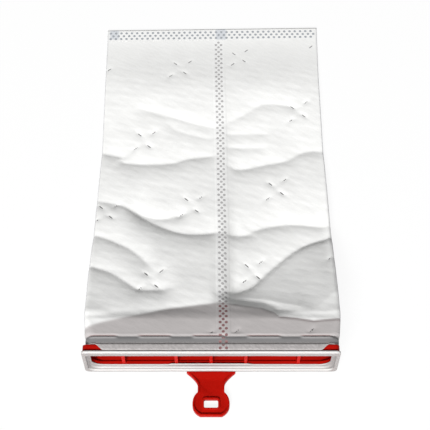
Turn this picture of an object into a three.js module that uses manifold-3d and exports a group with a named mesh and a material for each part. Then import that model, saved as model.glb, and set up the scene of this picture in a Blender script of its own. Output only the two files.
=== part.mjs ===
// Non-woven vacuum filter bag with a rigid mouth frame, lying flat with its mouth towards -Y.
// Three pieces: a one-piece moulded collar with ribs and pull tab, a soft seal round its mouth,
// and a bag of folded and welded non-woven fabric. Millimetres, +Z up, floor at Z = 0.
// While it is built, Y = 0 is the front of the seal. The finished group is then centred on Y.

import * as THREE from 'three';
import { mergeVertices } from 'three/addons/utils/BufferGeometryUtils.js';
import Module from 'manifold-3d';

// Driving dimensions: clearance between pieces that touch
const clearance = 0.3;

// Driving dimensions: soft seal
const sealWidth = 180;
const sealHeight = 36;
const sealRadius = 3;
const sealDepth = 2;
const sealEdge = 0.5;
const beadWidth = 2.5;
const grooveDepth = 1.2;
const grooveWidth = 0.8;
const lipSetBack = 2.4;
const lipThickness = 0.9;
const lipSlope = 1.5;

// Driving dimensions: slot through the mouth
const slotWidth = 170;
const slotHeight = 22;
const slotRadius = 8;

// Driving dimensions: moulded collar
const flangeInsetSide = 0.6;
const flangeInsetTop = 1.4;
const flangeDepth = 4.7;
const flangeLip = 2;
const spigotWidth = 174;
const spigotHeight = 32;
const spigotRadius = 7;
const spigotLength = 20;
const spigotWall = 2;
const neckDepth = 2.2;
const neckLength = 2.2;
const neckRamp = 1.6;
const ribThickness = 2.3;
const ribPitch = 24.6;
const outerRibX = 62;

// Driving dimensions: pull tab
const tabLength = 32.4;
const tabHeight = 4;
const tabRootWidth = 35;
const tabNeckWidth = 19;
const tabNeckStart = 7.5;
const tabNeckEnd = 15.1;
const tabHeadWidth = 26.4;
const tabHeadAt = 24;
const tabCornerRadius = 5.5;
const tabRim = 1.3;
const tabPocketTop = 1.1;
const tabPocketUnder = 0.8;
const tabBendAt = 6;
const holeWidth = 10;
const holeLength = 6.4;
const holeAt = 23.4;
const holeRadius = 1;
const holeRim = 1.2;

// Driving dimensions: filter bag
const bagLength = 303;
const bagEndWidth = 173.6;
const bagNearWidth = 181.2;
const bagMouthGap = 0.9;
const bagDrift = 1;
const bagEndSkew = 2.8;
const fabricWall = 0.8;
const fabricBandHalf = 78.5;
const fabricBandCorner = 6.8;
const tabNotchInner = 1;
const tabNotchOuter = 3;
const nearThickness = 11.2;
const farThickness = 6.6;
const crownRise = 2.2;
const fallLength = 46;
const creaseBulge = 12;
const gussetGirth = 30;
const gussetLeg = 1.2;
const foldRadius = 1.2;
const weldBand = 11.4;
const weldThickness = 1.9;
const weldEdgeRadius = 0.6;
const weldRamp = 7;
const cavityEndGap = 6;

// Where the pieces meet along Y and Z
const flangeFront = sealDepth + clearance;
const flangeRear = flangeFront + flangeDepth;
const lipSeat = lipSetBack + lipThickness + clearance;
const spigotEnd = flangeRear + spigotLength;
const sealBottom = tabHeight + 1.4 * clearance;
const axisZ = sealBottom + sealHeight / 2;

// Folds of the lying bag: a ridge from one point over a middle point to another, its rise and
// its width across. X is measured from the bag's middle line, Y from the front of the seal.
const folds = [
  { name: 'far_left', from: [-52, 219], over: [-20, 208], to: [6, 202], rise: 1.6, width: 6 },
  { name: 'far_right', from: [12, 207], over: [36, 224], to: [64, 226], rise: 2.2, width: 7 },
  { name: 'small_right_a', from: [15, 199], over: [26, 199], to: [38, 197], rise: 1.2, width: 4 },
  { name: 'small_right_b', from: [15, 187], over: [26, 188], to: [38, 184], rise: 1.2, width: 4 },
  { name: 'middle_left', from: [-88, 180], over: [-50, 164], to: [4, 178], rise: 2.4, width: 6 },
  { name: 'middle_right', from: [12, 172], over: [48, 167], to: [90, 186], rise: 2.6, width: 7 },
  { name: 'left_upper', from: [-88, 139], over: [-60, 128], to: [-24, 126], rise: 2.4, width: 6 },
  { name: 'left_long', from: [-62, 129], over: [-34, 108], to: [6, 110], rise: 3.4, width: 7 },
  { name: 'left_edge', from: [-89, 110], over: [-66, 104], to: [-46, 82], rise: 3, width: 6 },
  { name: 'left_near', from: [-90, 82], over: [-66, 66], to: [-34, 63], rise: 2.8, width: 7 },
  { name: 'right_upper', from: [12, 110], over: [40, 114], to: [89, 120], rise: 2.4, width: 6 },
  { name: 'right_long', from: [14, 60], over: [40, 72], to: [90, 108], rise: 4.2, width: 8 },
  { name: 'right_near', from: [14, 56], over: [40, 52], to: [66, 44], rise: 1.6, width: 6 },
];

// Number of faces round a curve and along the bag
const cornerSteps = 6;
const foldSteps = 3;
const legSteps = 3;
const topSteps = 28;
const ringStep = 6;
const cavityRingStep = 30;
const foldSamples = 10;

const red = { color: 0xc4150d, roughness: 0.34, metalness: 0 };
const sealWhite = { color: 0xdcdcd7, roughness: 0.55, metalness: 0 };
const fabricWhite = { color: 0xe6e5e2, roughness: 0.92, metalness: 0 };

const wasm = await Module();
wasm.setup();

function lerp(a, b, t) {
  return a + (b - a) * t;
}

function smooth(low, high, value) {
  return THREE.MathUtils.smoothstep(value, low, high);
}

// A closed mesh as a solid for a boolean
function toSolid(geometry) {
  const bare = geometry.clone();
  bare.deleteAttribute('normal');
  bare.deleteAttribute('uv');
  const merged = mergeVertices(bare, 1e-4);
  return new wasm.Manifold(new wasm.Mesh({
    numProp: 3,
    vertProperties: new Float32Array(merged.attributes.position.array),
    triVerts: new Uint32Array(merged.index.array),
  }));
}

function toGeometry(solid) {
  const mesh = solid.getMesh();
  const geometry = new THREE.BufferGeometry();
  const positions = new Float32Array(mesh.vertProperties);
  geometry.setAttribute('position', new THREE.BufferAttribute(positions, 3));
  geometry.setIndex(new THREE.BufferAttribute(new Uint32Array(mesh.triVerts), 1));
  return geometry;
}

// Points and triangles of a mesh under construction
class Surface {
  constructor() {
    this.points = [];
    this.faces = [];
  }

  addLoop(points) {
    const first = this.points.length;
    this.points.push(...points);
    return points.map((_, i) => first + i);
  }

  // Quads between two loops of equal length
  bridge(near, far) {
    near.forEach((a, i) => {
      const next = (i + 1) % near.length;
      this.faces.push([a, far[i], near[next]]);
      this.faces.push([near[next], far[i], far[next]]);
    });
  }

  // A fan that closes a loop, facing the way that the loop's bridge to a further loop would
  cap(loop) {
    const centre = new THREE.Vector3();
    loop.forEach((i) => centre.add(this.points[i]));
    centre.divideScalar(loop.length);
    const [middle] = this.addLoop([centre]);
    loop.forEach((a, i) => this.faces.push([a, middle, loop[(i + 1) % loop.length]]));
  }

  geometry() {
    const geometry = new THREE.BufferGeometry();
    const positions = this.points.flatMap((p) => [p.x, p.y, p.z]);
    geometry.setAttribute('position', new THREE.Float32BufferAttribute(positions, 3));
    geometry.setIndex(this.faces.flat());
    return geometry;
  }
}

// A rounded rectangle in the XZ plane round the mouth's axis, at one depth
function mouthLoop({ halfWidth, halfHeight, radius, y }) {
  const points = [];
  for (let corner = 0; corner < 4; corner += 1) {
    const signX = corner === 0 || corner === 3 ? 1 : -1;
    const signZ = corner < 2 ? 1 : -1;
    for (let step = 0; step <= cornerSteps; step += 1) {
      const angle = (corner + step / cornerSteps) * Math.PI / 2;
      const x = signX * (halfWidth - radius) + radius * Math.cos(angle);
      const z = signZ * (halfHeight - radius) + radius * Math.sin(angle);
      points.push(new THREE.Vector3(x, y, axisZ + z));
    }
  }
  return points;
}

// A ring swept round the mouth: its section is a closed list of loops
function mouthRing(section) {
  const surface = new Surface();
  const loops = section.map((entry) => surface.addLoop(mouthLoop(entry)));
  loops.forEach((loop, i) => surface.bridge(loop, loops[(i + 1) % loops.length]));
  return surface.geometry();
}

// The seal's loop at a distance inwards from its outer edge
function sealLoop(inset, y) {
  const across = inset / ((sealHeight - slotHeight) / 2);
  return {
    halfWidth: sealWidth / 2 - inset,
    halfHeight: sealHeight / 2 - inset,
    radius: lerp(sealRadius, slotRadius, across),
    y,
  };
}

function slotLoop(grow, y) {
  return {
    halfWidth: slotWidth / 2 + grow,
    halfHeight: slotHeight / 2 + grow,
    radius: slotRadius + grow,
    y,
  };
}

// Inset of the step where the seal's lip drops into the collar
const stepInset = beadWidth + grooveWidth + clearance;

function makeSeal() {
  const section = [
    sealLoop(0, sealDepth),
    sealLoop(0, sealEdge),
    sealLoop(sealEdge, 0),
    sealLoop(beadWidth - sealEdge, 0),
    sealLoop(beadWidth, sealEdge),
    sealLoop(beadWidth, grooveDepth),
    sealLoop(beadWidth + grooveWidth, grooveDepth),
    sealLoop(beadWidth + grooveWidth + lipSlope, lipSetBack),
    slotLoop(0, lipSetBack + clearance),
    slotLoop(0, lipSetBack + lipThickness),
    sealLoop(stepInset, lipSetBack + lipThickness),
    sealLoop(stepInset, sealDepth),
  ];
  return mouthRing(section.reverse());
}

// The collar's hollow body: flange, neck and spigot, open from end to end
function makeCollarBody() {
  const flange = {
    halfWidth: sealWidth / 2 - flangeInsetSide,
    halfHeight: sealHeight / 2 - flangeInsetTop,
    radius: sealRadius,
  };
  const spigot = {
    halfWidth: spigotWidth / 2,
    halfHeight: spigotHeight / 2,
    radius: spigotRadius,
  };
  const neck = {
    halfWidth: spigot.halfWidth,
    halfHeight: spigot.halfHeight - neckDepth,
    radius: spigotRadius - neckDepth / 2,
  };
  const bore = {
    halfWidth: spigot.halfWidth - spigotWall,
    halfHeight: spigot.halfHeight - spigotWall - neckDepth,
    radius: spigotRadius - spigotWall,
  };
  const wideBore = { ...bore, halfHeight: spigot.halfHeight - spigotWall };
  const rampStart = flangeRear + neckLength;
  const step = sealLoop(stepInset - clearance, flangeFront);
  const section = [
    { ...flange, y: flangeFront },
    { ...flange, y: flangeRear },
    { ...neck, y: flangeRear },
    { ...neck, y: rampStart },
    { ...spigot, y: rampStart + neckRamp },
    { ...spigot, y: spigotEnd },
    { ...wideBore, y: spigotEnd },
    { ...wideBore, y: rampStart + neckRamp + spigotWall },
    { ...bore, y: rampStart + spigotWall },
    { ...bore, y: lipSeat + flangeLip },
    slotLoop(0, lipSeat + flangeLip),
    slotLoop(0, lipSeat),
    { ...step, y: lipSeat },
    step,
  ];
  return toSolid(mouthRing(section));
}

// An upright rib that ties the mouth's top to its bottom, shaped to the bore behind it
function makeRib(x) {
  const reach = spigotHeight / 2 - spigotWall / 2;
  const front = slotHeight / 2 + flangeLip / 2;
  const low = spigotHeight / 2 - neckDepth - spigotWall / 2;
  const rampStart = flangeRear + neckLength;
  const side = new THREE.Shape();
  side.moveTo(lipSeat, -front);
  side.lineTo(lipSeat + flangeLip, -low);
  side.lineTo(rampStart, -low);
  side.lineTo(rampStart + neckRamp + spigotWall, -reach);
  side.lineTo(spigotEnd - spigotWall, -reach);
  side.lineTo(spigotEnd - spigotWall, reach);
  side.lineTo(rampStart + neckRamp + spigotWall, reach);
  side.lineTo(rampStart, low);
  side.lineTo(lipSeat + flangeLip, low);
  side.lineTo(lipSeat, front);
  const rib = new THREE.ExtrudeGeometry(side, { depth: ribThickness, bevelEnabled: false });
  rib.rotateY(Math.PI / 2);
  rib.rotateX(Math.PI / 2);
  rib.translate(x - ribThickness / 2, 0, axisZ);
  return toSolid(rib);
}

// The tab's outline in the XY plane, moved inwards by an inset
function tabOutline(inset) {
  const root = tabRootWidth / 2 - 1.6 * inset;
  const neck = tabNeckWidth / 2 - inset;
  const head = tabHeadWidth / 2 - inset;
  const end = -tabLength + inset;
  const corner = tabCornerRadius - inset / 2;
  const endHalf = head - tabCornerRadius + inset / 2;
  const outline = new THREE.Shape();
  outline.moveTo(-root, flangeRear);
  outline.lineTo(-root, 0);
  outline.quadraticCurveTo(-neck, -tabNeckStart + 1, -neck, -tabNeckStart - 2.5);
  outline.lineTo(-neck, -tabNeckEnd);
  outline.quadraticCurveTo(-head, -tabNeckEnd - 3, -head, -tabHeadAt);
  outline.quadraticCurveTo(-head, end + corner / 2, -endHalf, end);
  outline.lineTo(endHalf, end);
  outline.quadraticCurveTo(head, end + corner / 2, head, -tabHeadAt);
  outline.quadraticCurveTo(head, -tabNeckEnd - 3, neck, -tabNeckEnd);
  outline.lineTo(neck, -tabNeckStart - 2.5);
  outline.quadraticCurveTo(neck, -tabNeckStart + 1, root, 0);
  outline.lineTo(root, flangeRear);
  outline.closePath();
  return outline;
}

function holeOutline(grow) {
  const halfWidth = holeWidth / 2 + grow;
  const halfLength = holeLength / 2 + grow;
  const radius = holeRadius + grow;
  const outline = new THREE.Shape();
  outline.moveTo(-halfWidth + radius, -holeAt - halfLength);
  outline.lineTo(halfWidth - radius, -holeAt - halfLength);
  outline.absarc(halfWidth - radius, -holeAt - halfLength + radius, radius, -Math.PI / 2, 0);
  outline.lineTo(halfWidth, -holeAt + halfLength - radius);
  outline.absarc(halfWidth - radius, -holeAt + halfLength - radius, radius, 0, Math.PI / 2);
  outline.lineTo(-halfWidth + radius, -holeAt + halfLength);
  outline.absarc(-halfWidth + radius, -holeAt + halfLength - radius, radius, Math.PI / 2, Math.PI);
  outline.lineTo(-halfWidth, -holeAt - halfLength + radius);
  outline.absarc(-halfWidth + radius, -holeAt - halfLength + radius, radius, Math.PI, 1.5 * Math.PI);
  return outline;
}

function slab(outline, bottom, top) {
  const settings = { depth: top - bottom, bevelEnabled: false, curveSegments: 6 };
  const geometry = new THREE.ExtrudeGeometry(outline, settings);
  geometry.translate(0, 0, bottom);
  return toSolid(geometry);
}

// The pocket's floor rises to the rim's height where the tab meets the mouth
function pocketRamp() {
  const side = new THREE.Shape();
  side.moveTo(-tabBendAt, tabHeight - 2 * tabPocketTop);
  side.lineTo(flangeRear + 1, tabHeight - 2 * tabPocketTop);
  side.lineTo(flangeRear + 1, tabHeight + 1);
  side.lineTo(0, tabHeight + 1);
  side.lineTo(0, tabHeight);
  side.lineTo(-tabBendAt, tabHeight - tabPocketTop);
  side.closePath();
  const ramp = new THREE.ExtrudeGeometry(side, { depth: tabRootWidth, bevelEnabled: false });
  ramp.rotateY(Math.PI / 2);
  ramp.rotateX(Math.PI / 2);
  ramp.translate(-tabRootWidth / 2, 0, 0);
  return toSolid(ramp);
}

function makeTab() {
  const block = slab(tabOutline(0), 0, tabHeight);
  const land = slab(holeOutline(holeRim), -1, tabHeight + 1);
  const floorTop = tabHeight - tabPocketTop;
  const upper = slab(tabOutline(tabRim), floorTop, tabHeight + 1);
  const lower = slab(tabOutline(tabRim), -1, tabPocketUnder);
  const hole = slab(holeOutline(0), -1, tabHeight + 1);
  const upperPocket = upper.subtract(land).subtract(pocketRamp());
  const lowerPocket = lower.subtract(land);
  return block.subtract(upperPocket).subtract(lowerPocket).subtract(hole);
}

// The short web that joins the tab's root to the flange, behind the seal
function makeTabWeb() {
  const bottom = tabHeight - tabPocketTop;
  const top = sealBottom + flangeInsetTop + 1;
  const web = new THREE.BoxGeometry(tabRootWidth, flangeDepth, top - bottom);
  web.translate(0, flangeFront + flangeDepth / 2, (top + bottom) / 2);
  return toSolid(web);
}

function makeCollar() {
  let collar = makeCollarBody();
  [-outerRibX, -ribPitch, 0, ribPitch, outerRibX].forEach((x) => {
    collar = collar.add(makeRib(x));
  });
  return toGeometry(collar.add(makeTab()).add(makeTabWeb()));
}

// Distance from a point to a fold's line, signed: positive on its far side
function foldDistance(fold, x, y) {
  let best = { distance: Infinity, far: 1, along: 0 };
  for (let k = 0; k <= foldSamples; k += 1) {
    const t = k / foldSamples;
    const px = lerp(lerp(fold.from[0], fold.over[0], t), lerp(fold.over[0], fold.to[0], t), t);
    const py = lerp(lerp(fold.from[1], fold.over[1], t), lerp(fold.over[1], fold.to[1], t), t);
    const distance = Math.hypot(x - px, y - py);
    if (distance < best.distance) {
      best = { distance, far: y > py ? 1 : -1, along: t };
    }
  }
  return best;
}

// Height that the folds add to the top of the bag
function foldRelief(x, y) {
  let height = 0;
  folds.forEach((fold) => {
    const { distance, far, along } = foldDistance(fold, x, y);
    const width = far > 0 ? 1.5 * fold.width : 0.9 * fold.width;
    const ends = smooth(0, 0.2, along + 0.06) * smooth(0, 0.2, 1.06 - along);
    height += fold.rise * ends * Math.exp(-((distance / width) ** 2));
  });
  return height;
}

// Half the bag's width along its length
function bagHalfWidth(y) {
  const mouth = spigotWidth / 2 + bagMouthGap + fabricWall;
  const near = lerp(mouth, bagNearWidth / 2, smooth(spigotEnd - 14, spigotEnd + 24, y));
  return lerp(near, bagEndWidth / 2, smooth(bagLength * 0.2, bagLength * 0.52, y));
}

// Height of the fabric over the collar, from the mouth's axis to its outer side
const bandHalf = sealHeight / 2 - flangeInsetTop + clearance;
const spigotHalf = spigotHeight / 2 + clearance;
const weldStart = bagLength - weldBand;
const rampEnd = weldStart - weldRamp;

// Height of the plain top surface, without folds
function topBase(x, y) {
  const across = Math.min(1, Math.abs(x) / (bagEndWidth / 2));
  const fallStart = spigotEnd + creaseBulge * (1 - across ** 2);
  const fall = smooth(fallStart, fallStart + fallLength, y);
  const flat = lerp(nearThickness, farThickness, smooth(bagLength * 0.42, rampEnd, y));
  const crown = crownRise * (1 - across ** 4) * fall;
  const top = lerp(axisZ + spigotHalf + 2 * fabricWall, flat + crown, fall);
  return lerp(top, weldThickness, smooth(rampEnd, weldStart, y));
}

function bottomBase(y) {
  const fall = smooth(spigotEnd, spigotEnd + fallLength / 2, y);
  return lerp(axisZ - spigotHalf - fabricWall, 0, fall);
}

// One section of the bag's outer side
function outerSection(y) {
  const halfWidth = bagHalfWidth(y);
  const flatness = smooth(spigotEnd, spigotEnd + fallLength, y);
  const weld = smooth(rampEnd, weldStart, y);
  const radius = lerp(lerp(spigotRadius, foldRadius, flatness), weldEdgeRadius, weld);
  const open = topBase(halfWidth, y) - bottomBase(y) - 2 * radius;
  const folded = Math.sqrt(Math.max(0, gussetGirth ** 2 - open ** 2)) / 2;
  const starts = smooth(spigotEnd, spigotEnd + fallLength / 2, y);
  const gusset = folded * starts * (1 - weld);
  const calm = (1 - weld) * smooth(spigotEnd, spigotEnd + fallLength / 2, y);
  const top = (x) => topBase(x, y) + calm * foldRelief(x, y);
  return { y: () => y, halfWidth, radius, gusset, top, bottom: bottomBase(y) };
}

// Front edge of the fabric: bonded onto the flange, and cut away at its corners and tab
function frontEdge(x, isTop) {
  const cutStart = fabricBandHalf - fabricBandCorner / 2;
  const cutAway = smooth(cutStart, cutStart + fabricBandCorner, Math.abs(x));
  const fromTab = Math.abs(x) - tabRootWidth / 2;
  const tabRelief = isTop ? 0 : 1 - smooth(tabNotchInner, tabNotchOuter, fromTab);
  return lerp(flangeFront + clearance, flangeRear + clearance, Math.max(cutAway, tabRelief));
}

// Sections where the fabric lies on the collar, grown outwards by the fabric's wall
function collarSections(grow) {
  const neckHalf = spigotHalf - neckDepth / 2;
  const halfWidth = spigotWidth / 2 + bagMouthGap + grow;
  const rampStart = flangeRear + neckLength;
  const ridge = rampStart + neckRamp;
  const section = (y, half) => ({
    y,
    halfWidth,
    radius: spigotRadius - fabricWall + grow,
    gusset: 0,
    top: () => axisZ + half + grow,
    bottom: axisZ - half - grow,
  });
  const front = (x, isTop) => frontEdge(x, isTop);
  const back = (x, isTop) => Math.max(flangeRear + clearance / 2, frontEdge(x, isTop) + clearance / 2);
  return [
    section(front, bandHalf),
    section(back, bandHalf),
    section(() => flangeRear + neckLength / 2, neckHalf),
    section(() => rampStart, neckHalf),
    section(() => ridge, spigotHalf + fabricWall / 2),
    section(() => ridge + 2, spigotHalf + fabricWall / 2),
    section(() => ridge + 3, spigotHalf),
    section(() => ridge + 4, spigotHalf + fabricWall / 2),
  ];
}

// The loop of points of one section, starting at its top left and going over the top
function bagLoop(section) {
  const { halfWidth, radius, gusset, top, bottom } = section;
  const points = [];
  const inner = halfWidth - radius;
  const put = (x, z, isTop) => {
    const y = section.y(x, isTop);
    const along = y / bagLength;
    const skewed = y + bagEndSkew * (x / bagEndWidth) * along ** 2;
    const drift = bagDrift * smooth(spigotEnd, spigotEnd + fallLength, y);
    points.push(new THREE.Vector3(x + drift, skewed, z));
  };
  for (let i = 0; i <= topSteps; i += 1) {
    const x = lerp(-inner, inner, i / topSteps);
    put(x, top(x), true);
  }
  const sidePoints = (sign) => {
    const upper = top(sign * inner) - radius;
    const lower = bottom + radius;
    const side = [];
    for (let k = 1; k <= foldSteps; k += 1) {
      const angle = (k / foldSteps) * Math.PI / 2;
      side.push([inner + radius * Math.sin(angle), upper + radius * Math.cos(angle)]);
    }
    for (let k = 1; k < 2 * legSteps; k += 1) {
      const t = k / legSteps;
      const inwards = 1 - Math.abs(1 - t);
      side.push([halfWidth - gusset * inwards, lerp(upper, lower, t / 2)]);
    }
    for (let k = foldSteps; k >= 1; k -= 1) {
      const angle = (k / foldSteps) * Math.PI / 2;
      side.push([inner + radius * Math.sin(angle), lower - radius * Math.cos(angle)]);
    }
    return side.map(([x, z]) => [sign * x, z]);
  };
  sidePoints(1).forEach(([x, z]) => put(x, z, z > axisZ));
  const tabEdge = tabRootWidth / 2;
  const under = [inner, lerp(inner, tabEdge, 0.5), tabEdge + tabNotchOuter, tabEdge + tabNotchInner];
  [...under, 0, ...under.toReversed().map((x) => -x)].forEach((x) => put(x, bottom, false));
  sidePoints(-1).reverse().forEach(([x, z]) => put(x, z, z > axisZ));
  return points;
}

// One section of the hollow inside the bag, clear of the side folds
function cavitySection(y) {
  const outer = outerSection(y);
  const flat = smooth(spigotEnd, spigotEnd + fallLength, y);
  const side = lerp(fabricWall, gussetLeg, flat);
  const halfWidth = outer.halfWidth - outer.gusset - side;
  const ceiling = topBase(halfWidth, y) - lerp(fabricWall, gussetLeg, flat);
  return {
    y: () => y,
    halfWidth,
    radius: Math.max(1, outer.radius - fabricWall),
    gusset: 0,
    top: () => ceiling,
    bottom: outer.bottom + fabricWall,
  };
}

function spread(from, to, step) {
  const count = Math.ceil((to - from) / step);
  return Array.from({ length: count + 1 }, (_, i) => lerp(from, to, i / count));
}

function makeBag() {
  const surface = new Surface();
  const collarEnd = flangeRear + neckLength + neckRamp + 4;
  const outer = collarSections(fabricWall);
  spread(collarEnd + ringStep / 2, rampEnd, ringStep).forEach((y) => outer.push(outerSection(y)));
  spread(rampEnd + weldRamp / 2, weldStart, weldRamp / 2).forEach((y) => outer.push(outerSection(y)));
  outer.push(outerSection(bagLength));
  const inner = collarSections(0);
  const cavityEnd = rampEnd - cavityEndGap;
  spread(collarEnd + ringStep / 2, spigotEnd + fallLength + ringStep, ringStep).forEach((y) => {
    inner.push(cavitySection(y));
  });
  spread(spigotEnd + fallLength + ringStep + cavityRingStep, cavityEnd, cavityRingStep).forEach((y) => {
    inner.push(cavitySection(y));
  });
  const outerLoops = outer.map((section) => surface.addLoop(bagLoop(section)));
  const innerLoops = inner.map((section) => surface.addLoop(bagLoop(section)));
  const path = [...outerLoops.reverse(), ...innerLoops];
  for (let i = 0; i + 1 < path.length; i += 1) {
    surface.bridge(path[i], path[i + 1]);
  }
  surface.cap(path[path.length - 1]);
  surface.cap([...path[0]].reverse());
  return surface.geometry();
}

function addPiece(group, name, geometry, finish) {
  const mesh = new THREE.Mesh(geometry, new THREE.MeshStandardMaterial(finish));
  mesh.name = name;
  group.add(mesh);
}

const filter = new THREE.Group();
addPiece(filter, 'collar_frame', makeCollar(), red);
addPiece(filter, 'seal_gasket', makeSeal(), sealWhite);
addPiece(filter, 'filter_bag', makeBag(), fabricWhite);

// Centre the whole length, from the tab's tip to the skewed end of the bag, on Y = 0
filter.position.x = -bagDrift / 2;
filter.position.y = (tabLength - bagLength - bagEndSkew / 2) / 2;

export default filter;
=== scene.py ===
import math

import bmesh
import bpy
import numpy as np
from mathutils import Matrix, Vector
from mathutils.bvhtree import BVHTree


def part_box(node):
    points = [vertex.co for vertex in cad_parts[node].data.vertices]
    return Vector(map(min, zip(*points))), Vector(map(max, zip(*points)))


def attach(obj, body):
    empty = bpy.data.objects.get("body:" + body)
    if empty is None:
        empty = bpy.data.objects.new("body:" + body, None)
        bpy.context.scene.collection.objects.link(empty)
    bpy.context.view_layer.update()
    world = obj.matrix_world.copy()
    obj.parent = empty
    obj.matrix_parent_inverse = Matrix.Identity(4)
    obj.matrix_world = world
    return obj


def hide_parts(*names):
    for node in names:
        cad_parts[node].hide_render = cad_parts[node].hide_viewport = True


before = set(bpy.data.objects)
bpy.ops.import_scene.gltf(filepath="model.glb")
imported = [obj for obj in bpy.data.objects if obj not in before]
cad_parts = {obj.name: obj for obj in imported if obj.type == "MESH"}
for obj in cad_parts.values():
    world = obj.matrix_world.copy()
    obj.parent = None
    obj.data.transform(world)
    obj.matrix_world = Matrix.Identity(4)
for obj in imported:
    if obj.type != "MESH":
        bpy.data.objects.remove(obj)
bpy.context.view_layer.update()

# The looks of a non-woven filter bag on a red mouth frame with a soft white seal.
# Lengths are millimetres in the mouth's own frame: X from the middle of the mouth, Y from the
# front of the seal into the bag, Z up from the floor. place() turns them into the row's metres.

MM = 0.001
SEAL_LOW, SEAL_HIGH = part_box("seal_gasket")
MOUTH_X = (SEAL_LOW.x + SEAL_HIGH.x) / 2
MOUTH_Y = SEAL_LOW.y

# Sizes of the CAD model that the looks repeat
SEAL_WIDTH = (SEAL_HIGH.x - SEAL_LOW.x) / MM
SEAL_HEIGHT = (SEAL_HIGH.z - SEAL_LOW.z) / MM
SEAL_RADIUS = 3.0
SEAL_DEPTH = 2.0
LIP_SET_BACK = 2.4
LIP_THICKNESS = 0.9
RAIL_HEIGHT = 7.0
RAIL_WIDTH = 5.5
SLOT_RADIUS = 8.0
STEP_INSET = 3.8
CLEARANCE = 0.3
FLANGE_INSET_TOP = 1.4
FLANGE_DEPTH = 4.7
SPIGOT_INSET_SIDE = 3.0
SPIGOT_INSET_TOP = 2.0
SPIGOT_RADIUS = 7.0
SPIGOT_LENGTH = 20.0
NECK_LENGTH = 2.2
NECK_RAMP = 1.6
TAB_ROOT_WIDTH = 35.0

# The collar's taper and the fabric's dip behind the flange, which only the looks have
SPIGOT_TAPER = 2.0
NECK_DIP = 0.4

# The lying bag
BAG_MOUTH_GAP = 0.9
BAG_END_SKEW = 2.8
BAG_LENGTH = 305.6
BAG_END_HALF = 87.4
# The lying bag's sides: depth, left side, right side
BAG_SIDES = [
    (7.0, -88.2, 89.8), (32.0, -89.6, 91.6), (72.0, -89.6, 91.5), (104.0, -88.2, 91.0),
    (145.0, -87.3, 89.6), (184.0, -86.2, 88.4), (251.0, -86.6, 87.5), (306.0, -87.0, 88.1),
]
FABRIC_WALL = 0.8
BAND_INSET = 11.5
BAND_CORNER = 6.8
TAB_RELIEF_START = 1.0
TAB_RELIEF_END = 3.0
PRESSED_LENGTH = 3.0
FAR_THICKNESS = 5.4
CROWN_RISE = 1.8
WEDGE_LENGTH = 178.0
WEDGE_CURVE = 1.5
CREASE_BULGE = 9.0
CREASE_DROP = 1.2
CREASE_STEP = 3.0
LOOSE_STEP = 9.0
UNDERSIDE_FALL = 23.0
GUSSET_GIRTH = 30.0
GUSSET_START = 46.0
GUSSET_LEG = 1.2
SIDE_RADIUS = 3.0
FOLD_RADIUS = 1.2
WELD_BAND = 11.4
WELD_THICKNESS = 1.9
WELD_EDGE_RADIUS = 0.6
WELD_RAMP = 60.0
CAVITY_SHARE = 0.22
CAVITY_END_GAP = 3.0

SLOT_HALF_WIDTH = SEAL_WIDTH / 2 - RAIL_WIDTH
SLOT_HALF_HEIGHT = SEAL_HEIGHT / 2 - RAIL_HEIGHT
SPIGOT_HALF_WIDTH = SEAL_WIDTH / 2 - SPIGOT_INSET_SIDE
SPIGOT_HALF = SEAL_HEIGHT / 2 - SPIGOT_INSET_TOP + CLEARANCE
BAND_HALF_WIDTH = SEAL_WIDTH / 2 - BAND_INSET
BAND_HALF = SEAL_HEIGHT / 2 - FLANGE_INSET_TOP + CLEARANCE
AXIS_Z = SEAL_LOW.z / MM + SEAL_HEIGHT / 2
FLANGE_FRONT = SEAL_DEPTH + CLEARANCE
FLANGE_REAR = FLANGE_FRONT + FLANGE_DEPTH
RAMP_START = FLANGE_REAR + NECK_LENGTH
RIDGE = RAMP_START + NECK_RAMP
SPIGOT_END = FLANGE_REAR + SPIGOT_LENGTH
WELD_START = BAG_LENGTH - WELD_BAND
WELD_FOOT = WELD_START - WELD_RAMP


# A fold's line is given where the camera sees it on the unfolded bag: a valley lies beyond it,
# by this share of its depth
FOLD_SIGHT = 0.53
FOLD_SIGHT_LIMIT = 8.0


def fold(depth, near, points, hollow=3.0):
    """A fold of the lying bag: a valley this deep (or a ridge, below zero) along a line of
    points. near is the reach of the slope on the mouth's side, which is plane where hollow is 1
    and sags more where it is greater."""
    line = np.array(points, float) + [0.0, FOLD_SIGHT * min(depth, FOLD_SIGHT_LIMIT)]
    return {"depth": depth, "near": near, "hollow": hollow, "points": line}


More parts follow.
